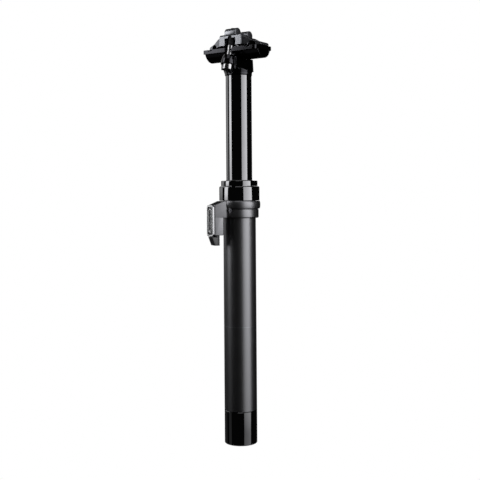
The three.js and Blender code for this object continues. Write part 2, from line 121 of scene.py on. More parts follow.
class SeatpostColours(bpy.types.PropertyGroup):
    """Base colours of the finishes."""

    matte_black: bpy.props.FloatVectorProperty(
        name="Matte black",
        description="Blasted and anodised tube",
        subtype="COLOR",
        default=(0.145, 0.145, 0.153),
    )
    gloss_black: bpy.props.FloatVectorProperty(
        name="Gloss black",
        description="Polished and anodised tube",
        subtype="COLOR",
        default=(0.125, 0.125, 0.13),
    )
    forged_black: bpy.props.FloatVectorProperty(
        name="Forged black", description="Head and cradle", subtype="COLOR", default=(0.026, 0.026, 0.029)
    )
    cast_silver: bpy.props.FloatVectorProperty(
        name="Cast silver", description="Upper clamp and nuts", subtype="COLOR", default=(0.19, 0.195, 0.21)
    )
    bright_steel: bpy.props.FloatVectorProperty(
        name="Bright steel", description="Bolts and pins", subtype="COLOR", default=(0.27, 0.27, 0.28)
    )


class SeatpostStage(bpy.types.PropertyGroup):
    """Camera and light."""

    azimuth: bpy.props.FloatProperty(
        name="Azimuth",
        description="Camera's turn from straight ahead",
        default=math.radians(35),
        subtype="ANGLE",
    )
    distance: bpy.props.FloatProperty(
        name="Distance",
        description="Camera to the post's axis",
        default=0.855,
        subtype="DISTANCE",
        unit="LENGTH",
    )
    height: bpy.props.FloatProperty(
        name="Height", description="Camera's height", default=0.2398, subtype="DISTANCE", unit="LENGTH"
    )
    lens: bpy.props.FloatProperty(
        name="Lens", description="Focal length", default=66.0, subtype="DISTANCE_CAMERA", unit="CAMERA"
    )


# Modelling, with operators


def clear():
    """Leaves edit mode and deselects everything."""
    if bpy.context.mode != "OBJECT":
        bpy.ops.object.mode_set(mode="OBJECT")
    bpy.ops.object.select_all(action="DESELECT")


def pick(*pieces):
    """Selects the pieces, the first one active."""
    clear()
    for piece in pieces:
        piece.select_set(True)
    bpy.context.view_layer.objects.active = pieces[0]


def settle(piece, name=None):
    """Applies a piece's place, merges doubles and turns its faces outwards."""
    pick(piece)
    bpy.ops.object.transform_apply(location=True, rotation=True, scale=True)
    bpy.ops.object.mode_set(mode="EDIT")
    bpy.ops.mesh.select_all(action="SELECT")
    bpy.ops.mesh.remove_doubles(threshold=1e-6)
    bpy.ops.mesh.normals_make_consistent(inside=False)
    bpy.ops.object.mode_set(mode="OBJECT")
    if name:
        piece.name = name
    return piece


def turned(profile, sides=None):
    """A body of revolution about the Z axis from (radius, up) points. A profile that meets the axis ends
    there."""
    clear()
    sides = sides or bpy.context.scene.seatpost_sizes.sides
    radius, up = profile[0]
    bpy.ops.mesh.primitive_circle_add(vertices=sides, radius=radius * MM, location=(0, 0, up * MM))
    piece = bpy.context.object
    bpy.ops.object.mode_set(mode="EDIT")
    if profile[0] != profile[-1]:
        bpy.ops.mesh.edge_face_add()
    for next_radius, next_up in profile[1:]:
        bpy.ops.mesh.extrude_region_move(TRANSFORM_OT_translate={"value": (0, 0, (next_up - up) * MM)})
        ratio = next_radius / radius
        bpy.ops.transform.resize(value=(ratio, ratio, 1), center_override=(0, 0, next_up * MM))
        radius, up = next_radius, next_up
    bpy.ops.object.mode_set(mode="OBJECT")
    return settle(piece)


def plate(outline, low, high, facing="up"):
    """Extrudes an outline. facing says what the outline's two numbers and its thickness run along:
    up is (forward, right) and up, side is (forward, up) and right, front is (right, up) and forward."""
    clear()
    bpy.ops.mesh.primitive_circle_add(vertices=len(outline), radius=MM, fill_type="NGON")
    piece = bpy.context.object
    axes = {
        "up": (Vector((0, -1, 0)), Vector((1, 0, 0)), Vector((0, 0, 1))),
        "side": (Vector((0, -1, 0)), Vector((0, 0, 1)), Vector((1, 0, 0))),
        "front": (Vector((1, 0, 0)), Vector((0, 0, 1)), Vector((0, -1, 0))),
    }[facing]
    for vertex, (a, b) in zip(piece.data.vertices, outline):
        vertex.co = (axes[0] * a + axes[1] * b + axes[2] * low) * MM
    bpy.ops.object.mode_set(mode="EDIT")
    bpy.ops.mesh.select_all(action="SELECT")
    bpy.ops.mesh.extrude_region_move(TRANSFORM_OT_translate={"value": axes[2] * (high - low) * MM})
    bpy.ops.object.mode_set(mode="OBJECT")
    return settle(piece)


def bar(radius, low, high, middle, axis="X", sides=64):
    """A round bar along X, Y or Z through a middle point."""
    clear()
    turn = {"X": (0, math.pi / 2, 0), "Y": (math.pi / 2, 0, 0), "Z": (0, 0, 0)}[axis]
    place_at = Vector(middle)
    place_at["XYZ".index(axis)] = (low + high) / 2
    bpy.ops.mesh.primitive_cylinder_add(
        vertices=sides, radius=radius * MM, depth=(high - low) * MM, location=place_at * MM, rotation=turn
    )
    return settle(bpy.context.object)


def block(forward, right, up):
    """A box from its two ends along each direction."""
    a, b = forward
    c, d = right
    return plate([(a, c), (b, c), (b, d), (a, d)], *up)


def arc(centre, radius, start, end, steps):
    """Points on a round stretch of an outline, angles in degrees."""
    angles = [math.radians(start + (end - start) * i / steps) for i in range(steps + 1)]
    return [(centre[0] + radius * math.cos(a), centre[1] + radius * math.sin(a)) for a in angles]


def rounded(a0, a1, b0, b1, r, steps=8):
    """A rectangle with round corners."""
    return (
        arc((a1 - r, b0 + r), r, -90, 0, steps)
        + arc((a1 - r, b1 - r), r, 0, 90, steps)
        + arc((a0 + r, b1 - r), r, 90, 180, steps)
        + arc((a0 + r, b0 + r), r, 180, 270, steps)
    )


def combined(operation, first, *others):
    """Joins or cuts a piece with others, which are used up."""
    for other in others:
        pick(first)
        bpy.ops.object.modifier_add(type="BOOLEAN")
        modifier = first.modifiers[-1]
        modifier.operation, modifier.solver, modifier.object = operation, "EXACT", other
        bpy.ops.object.modifier_apply(modifier=modifier.name)
        bpy.data.objects.remove(other)
    return first


def joined(first, *others):
    return combined("UNION", first, *others)


def cut(first, *others):
    return combined("DIFFERENCE", first, *others)


def cast(piece, voxel=None, passes=None):
    """Rounds a piece's edges as a casting's are, by a fine grid and a little smoothing."""
    sizes = bpy.context.scene.seatpost_sizes
    pick(piece)
    piece.data.remesh_voxel_size = voxel * MM if voxel else sizes.casting_voxel
    piece.data.use_remesh_fix_poles = False
    piece.data.use_remesh_preserve_volume = True
    bpy.ops.object.voxel_remesh()
    bpy.ops.object.modifier_add(type="SMOOTH")
    modifier = piece.modifiers[-1]
    modifier.factor, modifier.iterations = 0.5, sizes.casting_passes if passes is None else passes
    bpy.ops.object.modifier_apply(modifier=modifier.name)
    bpy.ops.object.shade_smooth()
    return piece


def bevelled(piece, width, segments=3, angle=30):
    """Breaks a piece's sharp edges and shades it smooth between them."""
    pick(piece)
    bpy.ops.object.modifier_add(type="BEVEL")
    modifier = piece.modifiers[-1]
    modifier.width, modifier.segments = width * MM, segments
    modifier.limit_method, modifier.angle_limit = "ANGLE", math.radians(angle)
    modifier.use_clamp_overlap = True
    bpy.ops.object.modifier_apply(modifier=modifier.name)
    bpy.ops.object.shade_smooth_by_angle(angle=EDGE_ANGLE)
    return piece


def moved(piece, matrix):
    """Moves and turns a piece's mesh."""
    piece.matrix_world = matrix @ piece.matrix_world
    return settle(piece)


def on_housing(piece):
    """Turns a piece made straight ahead to the cable housing's side."""
    return moved(piece, Matrix.Rotation(HOUSING_TURN, 4, "Z"))


def on_bolt(piece, end):
    """Moves a piece made upright on the Z axis to a clamp bolt's axis, with zero at the bolt's seat."""
    seat, nut = BOLTS[end]
    turn = (nut - seat).to_track_quat("Z", "X").to_matrix().to_4x4()
    return moved(piece, Matrix.Translation(seat * MM) @ turn)


def show(piece, name, body, slot, *nodes):
    """Names a finished piece, gives it its finish and says what it rides on and stands for."""
    piece.name = name
    piece.data.name = name
    piece.data.materials.clear()
    piece.data.materials.append(FINISHES[slot])
    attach(piece, body)
    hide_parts(*nodes)
    return piece


# Finishes


def node(tree, kind, **values):
    """Adds a node and sets its inputs and properties by name."""
    made = tree.nodes.new(kind)
    for key, value in values.items():
        if key in made.inputs:
            made.inputs[key].default_value = value
        else:
            setattr(made, key, value)
    return made


def new_group(name, inputs, outputs):
    """A shader node group with named number inputs and outputs."""
    tree = bpy.data.node_groups.new(name, "ShaderNodeTree")
    for label, value in inputs.items():
        socket = tree.interface.new_socket(label, in_out="INPUT", socket_type="NodeSocketFloat")
        socket.default_value = value
    for label in outputs:
        tree.interface.new_socket(label, in_out="OUTPUT", socket_type="NodeSocketFloat")
    return tree, tree.nodes.new("NodeGroupInput"), tree.nodes.new("NodeGroupOutput")


def grain_group():
    """Blasted or cast grain: a height and a slow mottling."""
    sizes = {"Size": 0.0003, "Mottle Size": 0.02}
    tree, inside, out = new_group("Surface Grain", sizes, ["Height", "Mottle"])
    place_in = tree.nodes.new("ShaderNodeTexCoord")
    for label, target, detail in (("Size", "Height", 3.0), ("Mottle Size", "Mottle", 4.0)):
        scale = node(tree, "ShaderNodeMath", operation="DIVIDE")
        scale.inputs[0].default_value = 1.0
        tree.links.new(inside.outputs[label], scale.inputs[1])
        noise = node(tree, "ShaderNodeTexNoise", Detail=detail, Roughness=0.6)
        tree.links.new(place_in.outputs["Object"], noise.inputs["Vector"])
        tree.links.new(scale.outputs[0], noise.inputs["Scale"])
        tree.links.new(noise.outputs["Fac"], out.inputs[target])
    return tree


def wear_group():
    """Edge wear: one where an edge stands proud and the finish has rubbed thin."""
    tree, inside, out = new_group("Edge Wear", {"Start": 0.53, "End": 0.6, "Patchiness": 90.0}, ["Worn"])
    geometry = tree.nodes.new("ShaderNodeNewGeometry")
    place_in = tree.nodes.new("ShaderNodeTexCoord")
    edge = node(tree, "ShaderNodeMapRange", interpolation_type="SMOOTHSTEP")
    tree.links.new(geometry.outputs["Pointiness"], edge.inputs["Value"])
    tree.links.new(inside.outputs["Start"], edge.inputs["From Min"])
    tree.links.new(inside.outputs["End"], edge.inputs["From Max"])
    noise = node(tree, "ShaderNodeTexNoise", Detail=5.0, Roughness=0.7)
    tree.links.new(place_in.outputs["Object"], noise.inputs["Vector"])
    tree.links.new(inside.outputs["Patchiness"], noise.inputs["Scale"])
    patches = node(tree, "ShaderNodeMapRange", **{"From Min": 0.4, "From Max": 0.62})
    tree.links.new(noise.outputs["Fac"], patches.inputs["Value"])
    worn = node(tree, "ShaderNodeMath", operation="MULTIPLY")
    tree.links.new(edge.outputs["Result"], worn.inputs[0])
    tree.links.new(patches.outputs["Result"], worn.inputs[1])
    tree.links.new(worn.outputs[0], out.inputs["Worn"])
    return tree


def scratch_group():
    """Fine turning or handling lines round the post: a height."""
    tree, inside, out = new_group("Fine Lines", {"Spacing": 0.0004, "Stretch": 0.02}, ["Height"])
    place_in = tree.nodes.new("ShaderNodeTexCoord")
    squeeze = node(tree, "ShaderNodeVectorMath", operation="MULTIPLY")
    tree.links.new(place_in.outputs["Object"], squeeze.inputs[0])
    stretch = tree.nodes.new("ShaderNodeCombineXYZ")
    tree.links.new(inside.outputs["Stretch"], stretch.inputs["X"])
    tree.links.new(inside.outputs["Stretch"], stretch.inputs["Y"])
    stretch.inputs["Z"].default_value = 1.0
    tree.links.new(stretch.outputs[0], squeeze.inputs[1])
    scale = node(tree, "ShaderNodeMath", operation="DIVIDE")
    scale.inputs[0].default_value = 1.0
    tree.links.new(inside.outputs["Spacing"], scale.inputs[1])
    noise = node(tree, "ShaderNodeTexNoise", Detail=2.0)
    tree.links.new(squeeze.outputs[0], noise.inputs["Vector"])
    tree.links.new(scale.outputs[0], noise.inputs["Scale"])
    tree.links.new(noise.outputs["Fac"], out.inputs["Height"])
    return tree


GROUPS = {}


def group_node(tree, name, **values):
    """Places a shared group in a material with its own values."""
    made = tree.nodes.new("ShaderNodeGroup")
    made.node_tree = GROUPS[name]
    for key, value in values.items():
        made.inputs[key.replace("_", " ")].default_value = value
    return made


def mixed(tree, mask, low, high, kind="RGBA"):
    """Mixes two colours or numbers by a mask output."""
    mix = node(tree, "ShaderNodeMix", data_type=kind)
    names = {"RGBA": (6, 7, 2), "FLOAT": (2, 3, 0)}[kind]
    mix.inputs[names[0]].default_value = (*low, 1) if kind == "RGBA" else low
    mix.inputs[names[1]].default_value = (*high, 1) if kind == "RGBA" else high
    tree.links.new(mask, mix.inputs[0])
    return mix.outputs[names[2]]


def finish(
    name,
    colour,
    roughness,
    metallic=0.0,
    grain=0.0003,
    depth=0.1,
    vary=0.15,
    wear=0.0,
    worn_colour=(0.35, 0.35, 0.36),
    lines=0.0,
    spacing=0.0004,
):
    """A finish with grain, mottled colour and roughness, fine lines and worn edges."""
    made = bpy.data.materials.new(name)
    made.use_nodes = True
    tree = made.node_tree
    shader = tree.nodes["Principled BSDF"]
    shader.inputs["Metallic"].default_value = metallic
    surface = group_node(tree, "Surface Grain", Size=grain)
    darker = tuple(c * (1 - vary) for c in colour)
    lighter = tuple(c * (1 + vary) for c in colour)
    base = mixed(tree, surface.outputs["Mottle"], darker, lighter)
    rough = mixed(tree, surface.outputs["Mottle"], roughness * (1 - vary), roughness * (1 + vary), "FLOAT")
    if wear:
        worn = group_node(tree, "Edge Wear")
        amount = node(tree, "ShaderNodeMath", operation="MULTIPLY")
        amount.inputs[1].default_value = wear
        tree.links.new(worn.outputs["Worn"], amount.inputs[0])
        over = node(tree, "ShaderNodeMix", data_type="RGBA")
        tree.links.new(amount.outputs[0], over.inputs[0])
        tree.links.new(base, over.inputs[6])
        over.inputs[7].default_value = (*worn_colour, 1)
        base = over.outputs[2]
        if not metallic:
            tree.links.new(amount.outputs[0], shader.inputs["Metallic"])
    tree.links.new(base, shader.inputs["Base Color"])
    tree.links.new(rough, shader.inputs["Roughness"])
    bump = node(tree, "ShaderNodeBump", Strength=depth, Distance=0.00005)
    tree.links.new(surface.outputs["Height"], bump.inputs["Height"])
    normal = bump.outputs["Normal"]
    if lines:
        ground = group_node(tree, "Fine Lines", Spacing=spacing)
        second = node(tree, "ShaderNodeBump", Strength=lines, Distance=0.00003)
        tree.links.new(ground.outputs["Height"], second.inputs["Height"])
        tree.links.new(normal, second.inputs["Normal"])
        normal = second.outputs["Normal"]
    tree.links.new(normal, shader.inputs["Normal"])
    return made


FINISHES = {}


class SEATPOST_OT_finishes(bpy.types.Operator):
    """Make the shared node groups and every finish"""

    bl_idname = "seatpost.finishes"
    bl_label = "Finishes"

    def execute(self, context):
        colours = context.scene.seatpost_colours
        GROUPS["Surface Grain"] = grain_group()
        GROUPS["Edge Wear"] = wear_group()
        GROUPS["Fine Lines"] = scratch_group()
        silver, steel = tuple(colours.cast_silver), tuple(colours.bright_steel)
        FINISHES["matte_black"] = finish(
            "matte_black", tuple(colours.matte_black), 0.36, metallic=1.0, grain=0.00016, depth=0.1, vary=0.08
        )
        FINISHES["gloss_black"] = finish(
            "gloss_black", tuple(colours.gloss_black), 0.05, metallic=1.0, depth=0.0, vary=0.1
        )
        FINISHES["forged_black"] = finish(
            "forged_black",
            tuple(colours.forged_black),
            0.16,
            metallic=1.0,
            grain=0.0004,
            depth=0.06,
            wear=0.25,
        )
        FINISHES["cast_silver"] = finish(
            "cast_silver", silver, 0.34, metallic=1.0, grain=0.0005, depth=0.1, vary=0.2
        )
        FINISHES["bolt_steel"] = finish(
            "bolt_steel", steel, 0.22, metallic=1.0, depth=0.1, lines=0.2, spacing=0.0002
        )
        FINISHES["plain_steel"] = finish("plain_steel", (0.45, 0.45, 0.47), 0.3, metallic=1.0, lines=0.2)
        FINISHES["plain_aluminium"] = finish(
            "plain_aluminium", (0.78, 0.79, 0.8), 0.42, metallic=0.6, lines=0.15
        )
        FINISHES["brass"] = finish("brass", (0.6, 0.42, 0.16), 0.3, metallic=1.0, lines=0.2)
        # Real black plastic on the cable inlet; on the clamp bolts' threads the same black is painted shade,
        # standing in for the clamp bar's shadow on steel.
        FINISHES["black_plastic"] = finish("black_plastic", (0.018, 0.018, 0.02), 0.42, depth=0.3, wear=0.15)
        FINISHES["black_rubber"] = finish("black_rubber", (0.012, 0.012, 0.013), 0.6, depth=0.4, vary=0.2)
        FINISHES["bushing"] = finish("bushing", (0.2, 0.17, 0.13), 0.5, depth=0.2)
        for record in frame["record"]["subparts"]:
            cad = frame["nodes"][record["node"]]
            cad.data.materials.clear()
            cad.data.materials.append(FINISHES[record["material_slot"]])
        return {"FINISHED"}


# The pieces


class SEATPOST_OT_tubes(bpy.types.Operator):
    """Model the fixed tube with its bottom cap, and the sliding tube"""

    bl_idname = "seatpost.tubes"
    bl_label = "Tubes"

    def execute(self, context):
        self.fixed_tube(context.scene.seatpost_sizes.line_height / MM)
        self.bottom_cap()
        low, high = span("sliding_tube")
        bore = SLIDER_RADIUS - 1.4
        stanchion = turned(
            [
                (bore, low.z),
                (SLIDER_RADIUS - 0.5, low.z),
                (SLIDER_RADIUS, low.z + 0.5),
                (SLIDER_RADIUS, high.z - 0.2),
                (SLIDER_RADIUS - 0.2, high.z),
                (bore, high.z),
                (bore, low.z),
            ]
        )
        bpy.ops.object.shade_smooth_by_angle(angle=EDGE_ANGLE)
        show(stanchion, "stanchion", "sliding_post", "gloss_black", "sliding_tube")
        return {"FINISHED"}

    def fixed_tube(self, line):
        low, high = span("outer_tube")
        foot = span("bottom_cap")[1].z
        radius, spigot, bore = POST_RADIUS, POST_RADIUS - 1.1, POST_RADIUS - 1.8
        groove = 0.05
        tube = turned(
            [
                (bore, low.z),
                (spigot - 0.4, low.z),
                (spigot, low.z + 0.4),
                (spigot, foot + 0.3),
                (radius - 0.3, foot + 0.3),
                (radius, foot + 0.6),
                (radius, line - 0.4),
                (radius - groove, line - 0.35),
                (radius - groove, line + 0.35),
                (radius, line + 0.4),
                (radius, high.z - 0.6),
                (radius - 0.6, high.z),
                (bore, high.z),
                (bore, low.z),
            ]
        )
        window = on_housing(block((10, 18), (-4.6, 4.6), (219, 231)))
        cut(tube, window)
        bpy.ops.object.shade_smooth_by_angle(angle=EDGE_ANGLE)
        show(tube, "fixed_tube", "lower_post", "matte_black", "outer_tube")
        ring = turned(
            [
                (radius - groove + 0.01, line - 0.25),
                (radius - 0.005, line - 0.22),
                (radius - 0.005, line + 0.22),
                (radius - groove + 0.01, line + 0.25),
                (radius - groove + 0.01, line - 0.25),
            ]
        )
        bpy.ops.object.shade_smooth_by_angle(angle=EDGE_ANGLE)
        show(ring, "insertion_line", "lower_post", "cast_silver", "outer_tube")

    def bottom_cap(self):
        low, high = span("bottom_cap")
        radius, bore = POST_RADIUS, 4.0
        edge = [(radius - 0.8 + r, low.z + 0.8 + z) for r, z in arc((0, 0), 0.8, -90, 0, 6)]
        cap = turned(
            [
                (bore, low.z + 0.4),
                (bore + 0.4, low.z),
                *edge,
                (radius, high.z - 0.25),
                (radius - 0.25, high.z),
                (radius - 0.8, high.z),
                (radius - 0.8, 13.7),
                (radius - 1.85, 13.7),
                (radius - 1.85, 5),
                (bore, 5),
                (bore, low.z + 0.4),
            ]
        )
        lugs = [block((-12, -6), (x - 1, x + 1), (4.8, 13.5)) for x in (-4.2, 4.2)]
        joined(cap, *[on_housing(lug) for lug in lugs])
        cut(cap, on_housing(bar(1.25, -6, 6, (0, 9, 11))))
        bpy.ops.object.shade_smooth_by_angle(angle=EDGE_ANGLE)
        show(cap, "bottom_cap_body", "lower_post", "gloss_black", "bottom_cap")


class SEATPOST_OT_collar(bpy.types.Operator):
    """Model the seal collar, its cap and the wiper seal"""

    bl_idname = "seatpost.collar"
    bl_label = "Collar"

    def execute(self, context):
        low, high = span("seal_collar")
        radius = high.x
        collar = turned(
            [
                (16.1, low.z),
                (radius - 0.3, low.z),
                (radius, low.z + 0.3),
                (radius, high.z - 0.9),
                (radius - 0.12, high.z - 0.6),
                (radius - 0.6, high.z - 0.12),
                (radius - 0.9, high.z),
                (17.6, high.z),
                (17.6, 241.5),
                (13.3, 241.5),
                (13.3, 240.6),
                (16.1, 240.6),
                (16.1, low.z),
            ]
        )
        bpy.ops.object.shade_smooth_by_angle(angle=EDGE_ANGLE)
        show(collar, "collar_body", "lower_post", "gloss_black", "seal_collar")
        low, high = span("collar_cap")
        radius = high.x
        cap = turned(
            [
                (14.6, low.z),
                (radius, low.z),
                (radius, high.z - 0.6),
                (radius - 0.1, high.z - 0.25),
                (radius - 0.4, high.z),
                (13.9, high.z),
                (13.5, high.z - 0.3),
                (13.5, 252.5),
                (14.6, 252.5),
                (14.6, low.z),
            ]
        )
        bpy.ops.object.shade_smooth_by_angle(angle=EDGE_ANGLE)
        show(cap, "collar_top_cap", "lower_post", "gloss_black", "collar_cap")
        low, high = span("wiper_seal")
        seal = turned(
            [
                (SLIDER_RADIUS + 0.2, low.z),
                (14.3, low.z),
                (14.3, 252.2),
                (SLIDER_RADIUS + 0.6, 252.2),
                (SLIDER_RADIUS + 0.6, high.z - 0.4),
                (SLIDER_RADIUS + 0.4, high.z),
                (SLIDER_RADIUS + 0.2, high.z),
                (SLIDER_RADIUS + 0.2, low.z),
            ]
        )
        bpy.ops.object.shade_smooth_by_angle(angle=EDGE_ANGLE)
        show(seal, "wiper_lip", "lower_post", "black_rubber", "wiper_seal")
        return {"FINISHED"}


class SEATPOST_OT_housing(bpy.types.Operator):
    """Model the cable housing with its cover plate, cable inlet and lever pin"""

    bl_idname = "seatpost.housing"
    bl_label = "Cable housing"

    def execute(self, context):
        self.body()
        self.cover()
        self.inlet()
        self.pin()
        return {"FINISHED"}

    def body(self):
        low = span("actuator_housing")[0]
        top = 234.1
        bore = POST_RADIUS + 0.3
        rings = turned(
            [
                (bore, 217.7),
                (17.5, 217.7),
                *[(17.5 + r, 218.8 + z) for r, z in arc((0, 0), 1.1, -90, 0, 6)],
                (18.6, 225.6),
                (18.45, 225.9),
                (18.0, 226.1),
                (17.95, 226.4),
                (19.4, 226.7),
                (19.85, 227.0),
                (20.15, 228.2),
                (20.3, 230.0),
                (20.25, 231.6),
                (19.95, 233.6),
                (19.5, top),
                (bore, top),
                (bore, 217.7),
            ]
        )
        half = [(30.2, 6.9), (19.0, 8.0), (17.4, 8.5), (16.4, 9.6), (15.4, 11.4), (10, 15.2)]
        outline = half + [(f, -r) for f, r in reversed(half)]
        body = plate(outline, 218, top)
        cut(body, plate([(20.2, top), (30.5, 230.2), (30.5, 240), (20.2, 240)], -30, 30, "side"))
        bevelled(body, 0.55)
        leg = plate([(30.2, 6.9), (21.3, 7.6), (21.3, -7.6), (30.2, -6.9)], low.z, 226)
        bevelled(leg, 0.5)
        joined(rings, body, leg)
        cavity = plate(
            [(31, 204.5), (31, 228.2), (26, 229.9), (13, 229.9), (13, 219.8), (23.3, 219.8), (23.3, 204.5)],
            -4.4,
            4.4,
            "side",
        )
        cut(
            rings,
            bar(bore, 215, 236, (0, 0, 0), "Z", 192),
            cavity,
            bar(1.2, 200, 206, (0, -25.2, 0), "Z"),
            bar(1.5, -10.8, 14, PIN),
            bar(2.4, 10.1, 14, PIN),
        )
        on_housing(rings)
        bpy.ops.object.shade_smooth_by_angle(angle=EDGE_ANGLE)
        show(rings, "housing_body", "lower_post", "matte_black", "actuator_housing")

    def cover(self):
        back, front, low, high, half = 30.5, 32.2, 200.2, 230.3, 6.7
        panel = plate(rounded(-half, half, low, high, 3), back, front, "front")
        bevelled(panel, 0.35)
        cut(panel, plate(rounded(-5.0, 5.0, low + 1.7, high - 1.7, 2), 31.65, 33, "front"))
        bpy.ops.object.shade_smooth_by_angle(angle=EDGE_ANGLE)
        show(on_housing(panel), "cover_panel", "lower_post", "bolt_steel", "cover_plate")
        edge = rounded(-half + 0.3, half - 0.3, low + 0.3, high - 0.3, 2.7)
        rim = plate(edge, front - 0.3, front + 0.04, "front")
        cut(rim, plate(rounded(-5.05, 5.05, low + 1.65, high - 1.65, 2.0), front - 1, front + 1, "front"))
        bevelled(rim, 0.08, 2)
        show(on_housing(rim), "cover_rim", "lower_post", "plain_aluminium", "cover_plate")
        field = plate(rounded(-4.95, 4.95, low + 1.75, high - 1.75, 1.95), 31.5, 31.7, "front")
        show(on_housing(field), "cover_field", "lower_post", "forged_black", "cover_plate")
        badge = plate(rounded(-3.1, 3.1, 203.8, 226.7, 3.0, 12), 31.6, front - 0.05, "front")
        cut(badge, plate(rounded(-2.2, 2.2, 204.7, 225.8, 2.15, 12), 31.68, front + 1, "front"))
        bevelled(badge, 0.1, 2)
        show(on_housing(badge), "cover_badge", "lower_post", "plain_aluminium", "cover_plate")

    def inlet(self):
        low, high = span("cable_ferrule")
        ribs = []
        for step in range(7):
            at = low.z + 0.3 + step * 1.35
            ribs += [(3.1, at), (3.1, at + 0.85), (2.85, at + 0.95), (2.85, at + 1.25)]
        ferrule = turned(
            [(2.15, low.z), (2.85, low.z), *ribs, (2.85, high.z), (2.15, high.z), (2.15, low.z)], 64
        )
        bpy.ops.object.shade_smooth_by_angle(angle=EDGE_ANGLE)
        moved(ferrule, Matrix.Translation((0, -25.2 * MM, 0)))
        show(on_housing(ferrule), "inlet_ferrule", "lower_post", "black_plastic", "cable_ferrule")
        wedge = plate([(25.2, 191.7), (28.9, 191.7), (32, 199.9), (25.2, 199.9)], -4.4, 4.4, "side")
        bevelled(wedge, 0.5)
        cut(wedge, bar(3.4, 190, 202, (0, -25.2, 0), "Z"))
        for step in range(-2, 3):
            slot = [(27, 190), (40, 190), (40, 199), (31, 199)]
            cut(wedge, plate(slot, step * 1.5 - 0.2, step * 1.5 + 0.2, "side"))
        bpy.ops.object.shade_smooth_by_angle(angle=EDGE_ANGLE)
        show(on_housing(wedge), "inlet_wedge", "lower_post", "black_plastic", "inlet_guard")

    def pin(self):
        head = bar(1.9, 10.2, 11.4, PIN, sides=96)
        bevelled(head, 0.3)
        cut(head, bar(1.0, 10.6, 12.5, PIN, sides=6))
        joined(head, bar(1.2, -10.5, 10.6, PIN))
        bpy.ops.object.shade_smooth_by_angle(angle=EDGE_ANGLE)
        show(on_housing(head), "lever_screw", "lower_post", "forged_black", "lever_pin")


class SEATPOST_OT_head(bpy.types.Operator):
    """Model the forged head at the top of the sliding tube"""

    bl_idname = "seatpost.head"
    bl_label = "Head"

    def execute(self, context):
        foot = span("sliding_tube")[1].z + 0.3
        neck = turned(
            [
                (4.0, foot),
                (13.0, foot),
                (13.2, foot + 0.3),
                (13.5, 357.5),
                (14.2, 359.6),
                (15.0, 362),
                (15.4, 365.5),
                (4.0, 365.5),
                (4.0, foot),
            ],
            96,
        )
        half = 8.6
        web = plate([(-13.5, 360), (-12.5, 371.8), (16, 371.8), (17, 360)], -half, half, "side")
        shape = joined(neck, web)
        for side in (-1, 1):
            edges = sorted((side * half, side * (half + 10)))
            cut(shape, plate([(-30, 349), (20, 364), (20, 380), (-30, 380)], *edges, "side"))
        seat = 1.4
        front_boss = turned([(0.5, -0.8), (7, -0.8), (7.15, 0), (7.1, 3.5), (6.6, 6), (6, 8), (0.5, 8)], 64)
        rear_boss = turned([(0.5, seat), (5.3, seat), (5.2, 7.5), (0.5, 7.5)], 64)
        joined(shape, on_bolt(front_boss, "front"), on_bolt(rear_boss, "rear"))
        joined(shape, bar(SLIDER_RADIUS - 1.7, 342, 357, (0, 0, 0), "Z", 96))
        cut(shape, bar(10.5, -20, 20, TILT_AXIS, sides=96), bar(4.6, 338, 380, (0, 0, 0), "Z"))
        for end, pocket in (("front", 6.2), ("rear", 5.9)):
            cup = [(0.5, seat), (pocket, seat), (pocket, -7.2), (4, -8.4), (0.5, -8.4)]
            cut(shape, on_bolt(turned(cup, 64), end))
            cut(shape, on_bolt(bar(3.6, -10, 12, (0, 0, 0), "Z"), end))
        cast(shape, 0.25, 5)
        show(shape, "head_forging", "sliding_post", "forged_black", "head_block")
        return {"FINISHED"}


class SEATPOST_OT_cradle(bpy.types.Operator):
    """Model the lower cradle that the saddle rails lie on"""

    bl_idname = "seatpost.cradle"
    bl_label = "Lower cradle"

    def execute(self, context):
        reach = span("lower_cradle")[1].x
        middle = 13.8
        pipe = self.half_pipe(11, 9.4, reach)
        cut(pipe, self.half_pipe(13, 10.2, middle))
        flange = plate(rounded(-12.6, 17.1, -reach, reach, 3, 10), 370, 390)
        side = [(-12.6, 378.4), (8, 378.2), (17.1, 376.9), (17.1, 380.8), (8, 382.2), (-12.6, 382.2)]
        combined("INTERSECT", flange, plate(side, -40, 40, "side"))
        joined(pipe, self.half_pipe(10.2, 7.6, middle), flange)
        cut(
            pipe,
            block((8.5, 20), (-3.8, 3.8), (374, 384)),
            block((-20, -7.2), (-3.8, 3.8), (374, 384)),
            *[bar(RAIL_GROOVE, -30, 30, (x, 0, RAIL_UP), "Y") for x in (-RAIL_SIDE, RAIL_SIDE)],
        )
        cast(pipe, 0.33, 4)
        show(pipe, "cradle_forging", "saddle_clamp", "forged_black", "lower_cradle")
        return {"FINISHED"}

    def half_pipe(self, outer, inner, reach):
        """The lower half of a pipe round the tilt axis."""
        centre = (-TILT_AXIS.y, TILT_AXIS.z)
        outline = arc(centre, outer, 180, 360, 48) + arc(centre, inner, 360, 180, 48)
        return plate(outline, -reach, reach, "side")


